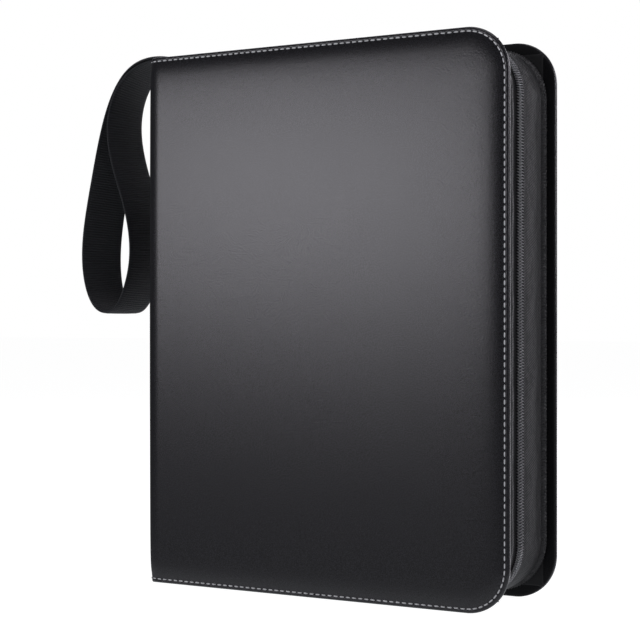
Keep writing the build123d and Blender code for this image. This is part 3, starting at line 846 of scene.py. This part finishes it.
nickel = cast("nickel_plate", (0.62, 0.61, 0.59), 1.0, 0.22, 0.06, 260, 0.15)
ring_wire = cast("ring_wire", (0.68, 0.67, 0.65), 1.0, 0.14, 0.04, 500, 0.1)
blade_steel = cast("blade_steel", (0.42, 0.42, 0.43), 1.0, 0.34, 0.08, 320, 0.3)
pad_plastic = cast("pad_plastic", (0.018, 0.018, 0.019), 0.0, 0.38, 0.07, 1500, 0.5)
dress(("ring_housing",), nickel)
dress(("ring_rivets", "lever_pins"), nickel)
dress(("front_ring_blade", "back_ring_blade", "top_lever_arm", "bottom_lever_arm"), blade_steel)
dress([f"{side}_half_ring_{k}" for side in ("front", "back") for k in (1, 2, 3)], ring_wire)
dress(("top_lever_pad", "bottom_lever_pad"), pad_plastic)

# ---------------------------------------------------------------- the linings
# A black woven cloth is glued to the inside of each cover and of the spine, over the turned in leather. Its edge is
# rolled under, and it lies a little slack between the glue lines.


def lining_sheet(name, place, side_u, side_v, thick, material):
    """A thin cushion-edged sheet over a rectangle: flat, slightly slack inside and rounded down at its rim. place
    turns the two coordinates and the height above the board into points."""
    u = side_u[0] + (side_u[1] - side_u[0]) * (1 - np.cos(np.linspace(0, math.pi, 61))) / 2
    v = side_v[0] + (side_v[1] - side_v[0]) * (1 - np.cos(np.linspace(0, math.pi, 81))) / 2
    rim = np.minimum(np.minimum(u - u[0], u[-1] - u)[:, None], np.minimum(v - v[0], v[-1] - v)[None, :])
    slack = 0.10 * np.sin(u[:, None] / 23) * np.sin(v[None, :] / 31) * np.clip(rim / 20, 0, 1)
    high = thick * np.sqrt(np.clip(1 - np.clip(1 - rim / thick, 0, 1) ** 2, 0, 1)) + slack
    top = place(u[:, None] + 0 * high, v[None, :] + 0 * high, high)
    low = place(u[:, None] + 0 * high, v[None, :] + 0 * high, 0 * high)
    count, length = high.shape
    faces = sheet_faces(count, length)
    under = faces[:, ::-1] + count * length
    return piece(name, np.concatenate([top.reshape(-1, 3), low.reshape(-1, 3)]),
                 np.concatenate([faces, under]).tolist(), material, merge=0.0005, creased=60)


def lining_cloth():
    """Black cloth with a plain weave along the binder's own length and height."""
    material = finish("lining_cloth", Base_Color=(0.012, 0.012, 0.013, 1), Roughness=0.8, Sheen_Weight=0.3)
    nodes, links = material.node_tree.nodes, material.node_tree.links
    place, warp, weft, cloth, bump = (nodes.new(k) for k in (
        "ShaderNodeTexCoord", "ShaderNodeTexWave", "ShaderNodeTexWave", "ShaderNodeMath", "ShaderNodeBump"))
    for thread, direction in ((warp, "X"), (weft, "Z")):
        thread.bands_direction = direction
        thread.inputs["Scale"].default_value = 420
        thread.inputs["Distortion"].default_value = 0.5
        links.new(place.outputs["Object"], thread.inputs["Vector"])
    cloth.operation = "MULTIPLY"
    links.new(warp.outputs["Fac"], cloth.inputs[0])
    links.new(weft.outputs["Fac"], cloth.inputs[1])
    bump.inputs["Strength"].default_value = 0.6
    bump.inputs["Distance"].default_value = 0.00015
    links.new(cloth.outputs[0], bump.inputs["Height"])
    links.new(bump.outputs["Normal"], nodes["Principled BSDF"].inputs["Normal"])
    return material


lining_finish = lining_cloth()
board_grey = cast("grey_board", (0.16, 0.15, 0.14), 0.0, 0.85, 0.05, 400, 0.6)
foam_black = cast("foam_black", (0.02, 0.02, 0.02), 0.0, 0.9, 0.04, 2500, 0.8)
dress(("front_cover_board", "back_cover_board", "spine_board"), board_grey)
dress(("front_cover_foam", "back_cover_foam"), foam_black)

for name, side in SIDES:
    lining = lining_sheet(
        f"{name}_lining_cloth",
        lambda u, v, high, side=side: np.stack([u, side * (HALF - PANEL + 0.55 - high), v], axis=-1),
        (CREASE_END + 0.5, FORE_EDGE - LEATHER_IN + 1), (LEATHER_IN - 1, HEIGHT - LEATHER_IN + 1), 0.65, lining_finish)
    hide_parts(f"{name}_cover_lining")
    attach(lining, f"{name}_cover")
dress(("spine_lining",), lining_finish)

# ---------------------------------------------------------------- the pocket pages
# Each page is two sheets of clear polypropylene over a white backing, welded into three rows of three pockets, with a
# plain punched margin along the rings. The pockets puff a little between the welds, which are a little darker.

PAGE_WIDE = 228.0
PAGE_TALL = 288.0
PAGE_THICK = 0.5
FIRST_PAGE = 0.6
PAGE_STEP = 0.8
POCKET_PUFF = 0.14
PAGE_HOLE = 4.0
PAGE_CORNER = 6.0
MARGIN = 18.0
RING_X = 16.75
RING_RADIUS = 14.3
RING_LEVELS = (67.0, 175.0, 283.0)
HOLE_PATCH = 9.0


def page_face(left, low):
    """The page's outline filled with points, and how much it puffs at each: square patches that turn from a round
    hole into the margin, plain strips between them, and a grid of pockets whose welds pull it flat."""
    levels = [low] + [z + k for z in RING_LEVELS for k in (-HOLE_PATCH, HOLE_PATCH)] + [low + PAGE_TALL]
    blocks = []
    for start, stop in zip(levels[0::2], levels[1::2]):
        u, v = np.meshgrid(np.linspace(0, MARGIN, 5), np.linspace(start, stop, 9))
        blocks.append((u, v))
    angle = np.linspace(0, 2 * math.pi, 33)
    square = HOLE_PATCH / np.maximum(np.abs(np.cos(angle)), np.abs(np.sin(angle)))
    for z in RING_LEVELS:
        grow = np.linspace(0, 1, 4)[:, None]
        radius = PAGE_HOLE * (1 - grow) + square[None, :] * grow
        blocks.append((HOLE_PATCH + radius * np.cos(angle), z + radius * np.sin(angle)))
    u, v = np.meshgrid(np.linspace(MARGIN, PAGE_WIDE, 43), np.linspace(low, low + PAGE_TALL, 55))
    from_right = np.clip((u - PAGE_WIDE + PAGE_CORNER) / PAGE_CORNER, 0, 1)
    pull = PAGE_CORNER * (1 - np.sqrt(1 - from_right ** 2))
    reach = np.clip((np.abs(v - MIDDLE) - PAGE_TALL / 2 + 3 * PAGE_CORNER) / (3 * PAGE_CORNER), 0, 1)
    blocks.append((u, v - np.sign(v - MIDDLE) * pull * reach))
    points, faces, total = [], [], 0
    for u, v in blocks:
        points.append(np.stack([u.ravel(), v.ravel()], axis=1))
        faces.append(sheet_faces(*u.shape) + total)
        total += u.size
    points = np.concatenate(points)
    pocket_u = np.clip((points[:, 0] - MARGIN) / (PAGE_WIDE - MARGIN) * 3, 0, 3)
    pocket_v = np.clip((points[:, 1] - low) / PAGE_TALL * 3, 0, 3)
    puff = (np.abs(np.sin(math.pi * pocket_u)) * np.abs(np.sin(math.pi * pocket_v))) ** 0.35
    return points + [left, 0], np.concatenate(faces), puff


def pocket_page(name, side, number, material):
    """The page's face and its mirror image a sheet apart, joined round the rim and the holes."""
    y = side * (FIRST_PAGE + PAGE_STEP * number)
    left = RING_X + math.sqrt(RING_RADIUS ** 2 - y ** 2) - HOLE_PATCH
    flat, faces, puff = page_face(left, MIDDLE - PAGE_TALL / 2)
    half = PAGE_THICK / 2 - POCKET_PUFF + POCKET_PUFF * puff
    bow = 0.05 * np.sin(flat[:, 0] / 37 + number) * np.sin(flat[:, 1] / 53 + 2 * number)
    sides = [np.stack([flat[:, 0], y + bow + s * half, flat[:, 1]], axis=-1) for s in (1, -1)]
    mesh = bpy.data.meshes.new(name)
    mesh.from_pydata((sides[0] * MM).tolist(), [], faces.tolist())
    shell = bmesh.new()
    shell.from_mesh(mesh)
    bmesh.ops.remove_doubles(shell, verts=shell.verts, dist=0.00001)
    far_side = bmesh.ops.duplicate(shell, geom=shell.verts[:] + shell.edges[:] + shell.faces[:])
    near_edges = [e for e in shell.edges if e.is_boundary]
    moved = [v for v in far_side["geom"] if isinstance(v, bmesh.types.BMVert)]
    for vert in moved:
        vert.co.y = 2 * y * MM - vert.co.y
    bmesh.ops.bridge_loops(shell, edges=near_edges)
    bmesh.ops.recalc_face_normals(shell, faces=shell.faces)
    shell.to_mesh(mesh)
    shell.free()
    mesh.polygons.foreach_set("use_smooth", np.ones(len(mesh.polygons), bool))
    mesh.set_sharp_from_angle(angle=math.radians(50))
    mesh.materials.append(material)
    made = bpy.data.objects.new(name, mesh)
    bpy.context.scene.collection.objects.link(made)
    spots = np.zeros(3 * len(mesh.vertices))
    mesh.vertices.foreach_get("co", spots)
    spots = spots.reshape(-1, 3) / MM
    return lay_uv(made, spots[:, 0] - left - MARGIN, spots[:, 2] - MIDDLE + PAGE_TALL / 2)


def pocket_film():
    """Glossy film over white, cloudy and a little crinkled, with a darker line wherever the pockets are welded."""
    material = finish("pocket_film", Base_Color=(0.78, 0.80, 0.82, 1), Roughness=0.2, Coat_Weight=0.6,
                      Coat_Roughness=0.08, Transmission_Weight=0.0, Specular_IOR_Level=0.5)
    nodes, links = material.node_tree.nodes, material.node_tree.links
    place, cloudy, crinkle, bump, tone = (nodes.new(k) for k in (
        "ShaderNodeTexCoord", "ShaderNodeTexNoise", "ShaderNodeTexNoise", "ShaderNodeBump", "ShaderNodeValToRGB"))
    cloudy.inputs["Scale"].default_value = 14
    crinkle.inputs["Scale"].default_value = 70
    tone.color_ramp.elements[0].color = (0.86, 0.87, 0.89, 1)
    tone.color_ramp.elements[1].color = (0.95, 0.95, 0.96, 1)
    pocket_map, welds = (nodes.new(k) for k in ("ShaderNodeUVMap", "ShaderNodeTexBrick"))
    welds.offset = 0.0
    for socket, value in (("Scale", 1.0), ("Brick Width", (PAGE_WIDE - MARGIN) / 3), ("Row Height", PAGE_TALL / 3),
                          ("Mortar Size", 1.1), ("Mortar Smooth", 0.6), ("Mortar", (0.42, 0.44, 0.47, 1))):
        welds.inputs[socket].default_value = value
    links.new(pocket_map.outputs["UV"], welds.inputs["Vector"])
    for socket in ("Color1", "Color2"):
        links.new(tone.outputs["Color"], welds.inputs[socket])
    bump.inputs["Strength"].default_value = 0.25
    bump.inputs["Distance"].default_value = 0.0006
    links.new(place.outputs["Object"], cloudy.inputs["Vector"])
    links.new(place.outputs["Object"], crinkle.inputs["Vector"])
    links.new(cloudy.outputs["Fac"], tone.inputs["Fac"])
    links.new(welds.outputs["Color"], nodes["Principled BSDF"].inputs["Base Color"])
    links.new(crinkle.outputs["Fac"], bump.inputs["Height"])
    links.new(bump.outputs["Normal"], nodes["Principled BSDF"].inputs["Normal"])
    return material


page_finish = pocket_film()

for name, side in SIDES:
    for number in range(8):
        page = pocket_page(f"{name}_pocket_page_{number + 1}", side, number, page_finish)
        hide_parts(f"{name}_page_{number + 1}")
        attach(page, f"{name}_page_{number + 1}")
